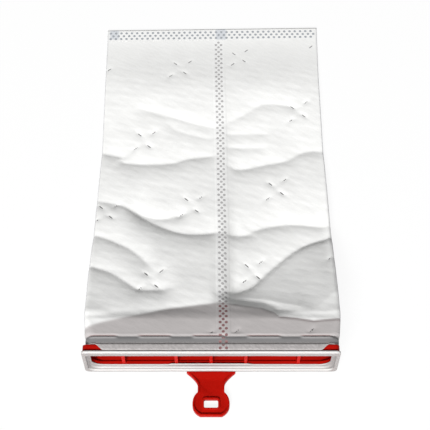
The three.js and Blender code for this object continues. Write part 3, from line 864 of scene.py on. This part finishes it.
def bag_tint(points):
    """Colour of each point of the bag: white, pinkish grey where the red plastic shows through, and
    painted shade over the collar, in the neck, along the tuck and down the sides.
    """
    x, y, z = points.T
    colour = np.tile(WHITE, (len(points), 1))

    def lay(target, amount):
        nonlocal colour
        colour = colour + (target - colour) * amount[:, None]

    def between(low, high, soft, value):
        return smooth(low - soft, low + soft, value) * (1 - smooth(high - soft, high + soft, value))

    def line(centre, width):
        return LINE_SHARE * np.exp(-((y - centre) / width) ** 2)

    top = z > AXIS_Z * smooth(TOP_SIDE_START, TOP_SIDE_FULL, y)
    seam = seam_x(y) + drift(y)
    lay(SEAM_WHITE, between(SEAM_LEFT, SEAM_RIGHT, SEAM_SOFTNESS, x - seam))
    pressed = DENSE_SHARE * smooth(WELD_START, WELD_START + DENSE_START, y)
    for low, high in DENSE_SPANS:
        lay(DENSE_WELD, pressed * between(low, high, DENSE_SOFTNESS, x))
    crease = crease_y(x)
    past_side = np.abs(x - drift(y)) - bag_half_width(y)
    # Painted shade down the bag's sides
    lay(SIDE_PAINTED_SHADE, smooth(SIDE_SHADE_START, SIDE_SHADE_FULL, past_side))
    # Red plastic showing through, with painted shade, up to where the fabric leaves the collar
    lay(COLLAR_SHOW_THROUGH_AND_SHADE, 1 - smooth(crease - CREASE_SOFTNESS, crease + CREASE_SOFTNESS, y))
    # Painted shadow along the tuck at the crease
    lay(TUCK_SHADOW, top * smooth(TUCK_SHADOW_START, TUCK_SHADOW_FULL, x) * line(crease, TUCK_SHADOW_WIDTH))
    # Painted shade in the neck and over the ridge; the pads then keep a lighter grey
    lay(RIDGE_PAINTED_SHADE, top * between(RIDGE_SHADE_START, RIDGE_SHADE_END, RIDGE_SHADE_SOFTNESS, y))
    lay(RIDGE_PAD, top * pad_mask(x) * between(PAD_START, PAD_END, PAD_EDGE, y))
    # Painted shade in the dip at the back of each pad
    lay(PAD_CREASE_SHADE, top * pad_mask(x) * line(PAD_CREASE_SHADE_LINE, PAD_CREASE_SHADE_WIDTH))
    bonded = 1 - smooth(FLANGE_REAR, FLANGE_REAR + FLANGE_EDGE, y)
    lay(BONDED, bonded)
    grain = np.random.default_rng(SEED).uniform(-SPECKLE, SPECKLE, len(points))
    colour = colour * (1 + bonded * grain)[:, None]
    return np.clip(colour, 0.0, 1.0)


def set_tint(piece, colours):
    layer = piece.data.color_attributes.new("tint", "FLOAT_COLOR", "POINT")
    values = np.concatenate([colours, np.ones((len(colours), 1))], axis=1)
    layer.data.foreach_set("color", values.astype(np.float32).ravel())


def make_bag(material):
    shell = Shell()
    outer = collar_sections(FABRIC_WALL)
    pressed_end = RIDGE + RIDGE_STEPS[-1][0]
    outer += [outer_section(y) for y in spread(pressed_end + BAG_STEP, WELD_FOOT, BAG_STEP)]
    outer += [outer_section(y) for y in spread(WELD_FOOT + RAMP_STEP, WELD_START, RAMP_STEP)]
    outer += [outer_section(y) for y in spread(WELD_START + WELD_FIRST_STEP, BAG_LENGTH, WELD_STEP)]
    inner = collar_sections(0.0)
    long_start = CAVITY_FINE_END + CAVITY_LONG_STEP
    for start, end, step in (
        (pressed_end + 2 * BAG_STEP, SPIGOT_END + CLEARANCE, CAVITY_STEP),
        (SPIGOT_END + CREASE_STEP, CAVITY_FINE_END, CAVITY_STEP),
        (long_start, WELD_FOOT - CAVITY_END_GAP, CAVITY_LONG_STEP),
    ):
        inner += [cavity_section(y) for y in spread(start, end, step)]
    outer_loops = [shell.add_loop(bag_loop(section)) for section in outer]
    inner_loops = [shell.add_loop(bag_loop(section)) for section in inner]
    path = outer_loops[::-1] + inner_loops
    for near, far in zip(path, path[1:]):
        shell.bridge(near, far)
    shell.cap(path[-1])
    shell.cap(path[0], flip=True)
    points = np.array(shell.points)
    bag = new_object("bag_fabric", points, shell.faces)
    set_tint(bag, bag_tint(points))
    bag.data.materials.append(material)
    return bag, points, shell.faces


# Weld dots and dashes


def seam_dots():
    """Middles of the seam's dots, from the end weld to the mouth, evenly along the fabric."""
    ys = np.arange(WELD_START, FLANGE_FRONT + 1.0, -0.25)
    xs = seam_x(ys)
    heights = top_base(xs, ys) + top_detail(xs, ys)
    length = np.concatenate([[0.0], np.cumsum(np.hypot(np.diff(ys), np.diff(heights)))])
    rows = np.arange(SEAM_PITCH / 2, length[-1], SEAM_PITCH / 2)
    dots = []
    for row, y in enumerate(np.interp(rows, length, ys)):
        columns = (-1, 1) if row % 2 else (0,)
        dots += [(seam_x(y) + drift(y) + column * SEAM_COLUMN, y) for column in columns]
    return dots


def end_dots():
    dots = []
    half = BAG_END_HALF - END_MARGIN
    for row in range(3):
        y = BAG_LENGTH - END_ROW_FIRST - row * END_ROW_STEP
        x = -half + (END_PITCH / 2 if row == 1 else 0.0)
        while x < half:
            dots.append((x + drift(y), y + skew(x, y)))
            x += END_PITCH
    return dots


SEAM_DOT = np.array([0.52, 0.51, 0.51])
END_DOT = np.array([0.40, 0.42, 0.45])
DOT_RED = np.array([0.24, 0.13, 0.13])
DASH_NEAR = np.array([0.13, 0.125, 0.125])
DASH_FAR = np.array([0.32, 0.32, 0.32])


# Height of a mark's edge and middle above the fabric, and where dots stop showing red below
MARK_EDGE_LIFT = 0.04
MARK_MIDDLE_LIFT = 0.05
MARK_STEPS = 10
RED_DOTS_END = (38.0, 44.0)
NEAR_MARKS = 60.0
FAR_MARKS = 280.0


def make_welds(bag_points, bag_faces, material):
    tree = BVHTree.FromPolygons([Vector(p) for p in bag_points], [tuple(f) for f in bag_faces])
    points = []
    faces = []
    colours = []

    def put(cx, cy, length, width, turn, colour):
        """A pressed oval on top of the bag."""
        first = len(points)
        outline = [(0.0, 0.0, MARK_MIDDLE_LIFT)]
        for k in range(MARK_STEPS):
            angle = 2 * math.pi * k / MARK_STEPS
            along, across = length / 2 * math.cos(angle), width / 2 * math.sin(angle)
            outline.append((along, across, MARK_EDGE_LIFT))
        for along, across, lift in outline:
            x = cx + along * math.cos(turn) - across * math.sin(turn)
            y = cy + along * math.sin(turn) + across * math.cos(turn)
            hit = tree.ray_cast(Vector((x, y, 100.0)), Vector((0.0, 0.0, -1.0)))[0]
            if hit is None:
                del points[first:]
                del colours[first:]
                return
            points.append((x, y, hit.z + lift))
            colours.append(colour)
        for k in range(MARK_STEPS):
            faces.append((first, first + 1 + k, first + 1 + (k + 1) % MARK_STEPS))

    for x, y in seam_dots():
        over_collar = 1.0 - smooth(*RED_DOTS_END, y)
        put(x, y, 2 * DOT_RADIUS, 2 * DOT_RADIUS, 0.0, lerp(SEAM_DOT, DOT_RED, over_collar))
    for x, y in end_dots():
        put(x, y, 2 * DOT_RADIUS, 2 * DOT_RADIUS, 0.0, END_DOT)
    for x, y, turn in all_marks():
        grey = lerp(DASH_NEAR, DASH_FAR, fraction(NEAR_MARKS, FAR_MARKS, y))
        put(x, y, MARK_LENGTH, MARK_WIDTH, turn, grey)
    piece = new_object("weld_marks", points, faces)
    set_tint(piece, np.array(colours))
    piece.data.materials.append(material)
    return piece


# The seal


TOP_CORNER = 1.5
RAISED_SPAN = (-30.0, 27.5)
RAISED_EDGE = 1.0
RAISED_START = 4.5
RAISED_BY = 1.3
SEAL_WAVES = (38.0, 61.0, 90.0)
SEAL_WAVINESS = 0.12
FACE_WAVES = (27.0, 45.0)
FACE_WAVINESS = 0.08
FACE_DEPTH = 1.9
# The seal's section from its rear edge over the bead and the groove to the lip: inset from the
# outline, depth, and the inset along the top rail where it is another
BEAD_SECTION = [
    (0.0, SEAL_DEPTH), (0.0, 1.3), (0.0, 0.75), (0.07, 0.42), (0.25, 0.16), (0.55, 0.02),
    (1.0, 0.0, 1.3), (1.7, 0.0, 3.4), (2.15, 0.05, 5.2), (2.45, 0.22, 5.9), (2.64, 0.5, 6.3),
]
GROOVE_SECTION = [
    (2.7, 0.8, 6.4), (2.78, 1.05, 6.42), (3.0, 1.2, 6.5), (3.4, 1.2, 6.6), (3.7, 1.35, 6.66),
]
LIP_SECTION = [(4.1, 1.7, 6.72), (4.6, 2.2, 6.8), (4.9, 2.36, 6.85)]
# Painted shade: how much darker than the bead the groove and the lip are painted
GROOVE_PAINTED_SHADE = 0.72
LIP_PAINTED_SHADE = 0.88


def mouth_loop(half_width, lower, upper, y, straight=60, corner=10):
    """Points round the mouth at one depth: lower and upper are each a reach and a radius."""
    corners = []
    for k in range(4):
        reach, radius = upper if k < 2 else lower
        cx = (half_width - radius) * (1 if k in (0, 3) else -1)
        cz = (reach - radius) * (1 if k < 2 else -1)
        angles = (k + np.linspace(0.0, 1.0, corner + 1)) * math.pi / 2
        corners.append(np.stack([cx + radius * np.cos(angles), cz + radius * np.sin(angles)], axis=1))
    parts = []
    for k, arc in enumerate(corners):
        steps = straight if k % 2 == 0 else straight // 6
        t = np.linspace(0.0, 1.0, steps, endpoint=False)[1:, None]
        parts += [arc, lerp(arc[-1:], corners[(k + 1) % 4][:1], t)]
    flat = np.concatenate(parts)
    return np.stack([flat[:, 0], np.full(len(flat), y), flat[:, 1]], axis=1)


def make_seal(material):
    def ring(inset, y, top_inset=None):
        radius = lerp(SEAL_RADIUS, SLOT_RADIUS, inset / RAIL_HEIGHT)
        lower = (SEAL_HEIGHT / 2 - inset, radius)
        upper = lower if top_inset is None else (SEAL_HEIGHT / 2 - top_inset, TOP_CORNER)
        return mouth_loop(SEAL_WIDTH / 2 - inset, lower, upper, y)

    def slot_ring(grow, y):
        lower = (SLOT_HALF_HEIGHT + grow, SLOT_RADIUS + grow)
        return mouth_loop(SLOT_HALF_WIDTH + grow, lower, (SLOT_HALF_HEIGHT + grow, TOP_CORNER), y)

    back = LIP_SET_BACK + LIP_THICKNESS
    bead = [ring(*step) for step in BEAD_SECTION]
    groove = [ring(*step) for step in GROOVE_SECTION]
    lip = [ring(*step) for step in LIP_SECTION]
    lip += [slot_ring(0.4, LIP_SET_BACK), slot_ring(0.1, LIP_SET_BACK + 0.1)]
    lip += [slot_ring(0.0, LIP_SET_BACK + 0.3), slot_ring(0.0, back - 0.1), slot_ring(0.1, back)]
    lip += [ring(STEP_INSET, back), ring(STEP_INSET, SEAL_DEPTH)]
    shell = Shell()
    indexed = []
    for loop in bead + groove + lip:
        x, y, z = loop.T
        wave = soft_noise(x, np.zeros_like(x), SEAL_WAVES, SEED + 3)
        raised = smooth(RAISED_SPAN[0], RAISED_SPAN[0] + RAISED_EDGE, x)
        raised *= 1 - smooth(RAISED_SPAN[1], RAISED_SPAN[1] + RAISED_EDGE, x)
        inner = smooth(-SEAL_HEIGHT / 2 + RAISED_START, -SLOT_HALF_HEIGHT, z) * (z < 0)
        height = z + SEAL_WAVINESS * wave + RAISED_BY * raised * inner + AXIS_Z
        depth = y + FACE_WAVINESS * soft_noise(x, z, FACE_WAVES, SEED + 4) * (y < FACE_DEPTH)
        indexed.append(shell.add_loop(np.stack([x, depth, height], axis=1)))
    for near, far in zip(indexed, indexed[1:] + indexed[:1]):
        shell.bridge(far, near)
    seal = new_object("seal_ring", np.array(shell.points), shell.faces)
    counts = [len(part) * len(indexed[0]) for part in (bead, groove, lip)]
    # The groove and the lip are painted darker than the bead, as painted shade
    painted_shades = np.repeat((1.0, GROOVE_PAINTED_SHADE, LIP_PAINTED_SHADE), counts)
    set_tint(seal, np.stack([painted_shades] * 3, axis=1))
    seal.data.materials.append(material)
    return seal


# The collar: the CAD solid with its flat faces joined again and its edges rounded

WELD_DISTANCE = 0.01
FLAT_ANGLE = math.radians(1.0)
EDGE_ROUNDING = 0.28
EDGE_ANGLE = math.radians(32)

def make_collar(material):
    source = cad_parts["collar_frame"]
    mesh = source.data.copy()
    mesh.materials.clear()
    collar = bpy.data.objects.new("collar_moulding", mesh)
    bpy.context.scene.collection.objects.link(collar)
    work = bmesh.new()
    work.from_mesh(mesh)
    for corner in work.verts:
        depth = (corner.co.y - MOUTH_Y) / MM
        above = corner.co.z / MM - AXIS_Z
        taper = SPIGOT_TAPER * float(fraction(RIDGE, SPIGOT_END, depth)) / SPIGOT_HALF
        corner.co.z -= above * taper * MM
    bmesh.ops.remove_doubles(work, verts=work.verts, dist=WELD_DISTANCE * MM)
    bmesh.ops.dissolve_limit(work, angle_limit=FLAT_ANGLE, verts=work.verts, edges=work.edges)
    work.to_mesh(mesh)
    work.free()
    bevel = collar.modifiers.new("edges", "BEVEL")
    bevel.width = EDGE_ROUNDING * MM
    bevel.segments = 2
    bevel.limit_method = "ANGLE"
    bevel.angle_limit = EDGE_ANGLE
    bevel.use_clamp_overlap = True
    bevel.harden_normals = True
    mesh.polygons.foreach_set("use_smooth", [True] * len(mesh.polygons))
    mesh.update()
    mesh.materials.append(material)
    return collar


# Stage, light and camera

BACKDROP_SIZE = 4.0
FLOOR_GAP = 0.0002
FLOOR_SHARE = 0.12
LENS = 99.877
CAMERA_X = 2.8
CAMERA_Y = -304.17
CAMERA_Z = 811.42
CAMERA_PITCH = 61.86
KEY_PLACE = (-0.6, -3.1, 2.5)
KEY_SIZE = (2.0, 1.2)
KEY_POWER = 250.0
WORLD_STRENGTH = 0.19


def make_stage():
    size = BACKDROP_SIZE / 2
    mesh = bpy.data.meshes.new("floor")
    corners = [(-size, -size, 0), (size, -size, 0), (size, size, 0), (-size, size, 0)]
    mesh.from_pydata(corners, [], [(0, 1, 2, 3)])
    floor = bpy.data.objects.new("floor", mesh)
    floor.location.z = -FLOOR_GAP
    bpy.context.scene.collection.objects.link(floor)
    material = bpy.data.materials.new("pale_floor")
    material.use_nodes = True
    tree = material.node_tree
    tree.nodes.clear()
    output = tree.nodes.new("ShaderNodeOutputMaterial")
    matte = add_node(tree, "ShaderNodeBsdfDiffuse", Color=(0.9, 0.9, 0.9, 1.0))
    glow = add_node(tree, "ShaderNodeEmission", Color=(1.0, 1.0, 1.0, 1.0), Strength=1.0)
    share = add_node(tree, "ShaderNodeMixShader")
    path = tree.nodes.new("ShaderNodeLightPath")
    seen = math_node(tree, "MAXIMUM", path.outputs["Is Camera Ray"], path.outputs["Is Glossy Ray"])
    factor = math_node(tree, "MULTIPLY", seen, 1.0 - FLOOR_SHARE)
    tree.links.new(factor, share.inputs[0])
    tree.links.new(matte.outputs[0], share.inputs[1])
    tree.links.new(glow.outputs[0], share.inputs[2])
    tree.links.new(share.outputs[0], output.inputs["Surface"])
    mesh.materials.append(material)


def make_world():
    world = bpy.data.worlds.new("studio")
    bpy.context.scene.world = world
    world.use_nodes = True
    tree = world.node_tree
    tree.nodes.clear()
    output = tree.nodes.new("ShaderNodeOutputWorld")
    soft = add_node(tree, "ShaderNodeBackground", Color=(1.0, 1.0, 1.0, 1.0), Strength=WORLD_STRENGTH)
    white = add_node(tree, "ShaderNodeBackground", Color=(1.0, 1.0, 1.0, 1.0), Strength=1.0)
    share = add_node(tree, "ShaderNodeMixShader")
    path = tree.nodes.new("ShaderNodeLightPath")
    tree.links.new(path.outputs["Is Camera Ray"], share.inputs[0])
    tree.links.new(soft.outputs[0], share.inputs[1])
    tree.links.new(white.outputs[0], share.inputs[2])
    tree.links.new(share.outputs[0], output.inputs["Surface"])


def add_area(name, location, target, size, power):
    light = bpy.data.lights.new(name, "AREA")
    light.shape = "RECTANGLE"
    light.size, light.size_y = size
    light.energy = power
    lamp = bpy.data.objects.new(name, light)
    lamp.location = location
    aim = Vector(target) - Vector(location)
    lamp.rotation_euler = aim.to_track_quat("-Z", "Y").to_euler()
    bpy.context.scene.collection.objects.link(lamp)


def make_lights():
    add_area("front_key", KEY_PLACE, (0.0, 0.0, 0.0), KEY_SIZE, KEY_POWER)


def make_camera():
    camera = bpy.data.cameras.new("camera")
    camera.lens = LENS
    camera.sensor_width = 36.0
    camera.clip_start = 0.01
    camera.clip_end = 20.0
    viewer = bpy.data.objects.new("camera", camera)
    viewer.location = tuple(place([(CAMERA_X, CAMERA_Y, CAMERA_Z)])[0])
    viewer.rotation_euler = (math.radians(90.0 - CAMERA_PITCH), 0.0, 0.0)
    bpy.context.scene.collection.objects.link(viewer)
    bpy.context.scene.camera = viewer


def main():
    bpy.context.scene.view_settings.view_transform = "Standard"
    fabric = fabric_material()
    welds = weld_material()
    red = plastic_material()
    white = seal_material()
    bag, bag_points, bag_faces = make_bag(fabric)
    marks = make_welds(bag_points, bag_faces, welds)
    seal = make_seal(white)
    collar = make_collar(red)
    for piece, slot, node in (
        (bag, "bag_fabric", "filter_bag"),
        (marks, "bag_fabric", None),
        (seal, "seal_rubber", "seal_gasket"),
        (collar, "collar_plastic", "collar_frame"),
    ):
        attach(piece, "root")
        if node:
            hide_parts(node)
    make_stage()
    make_world()
    make_lights()
    make_camera()


main()
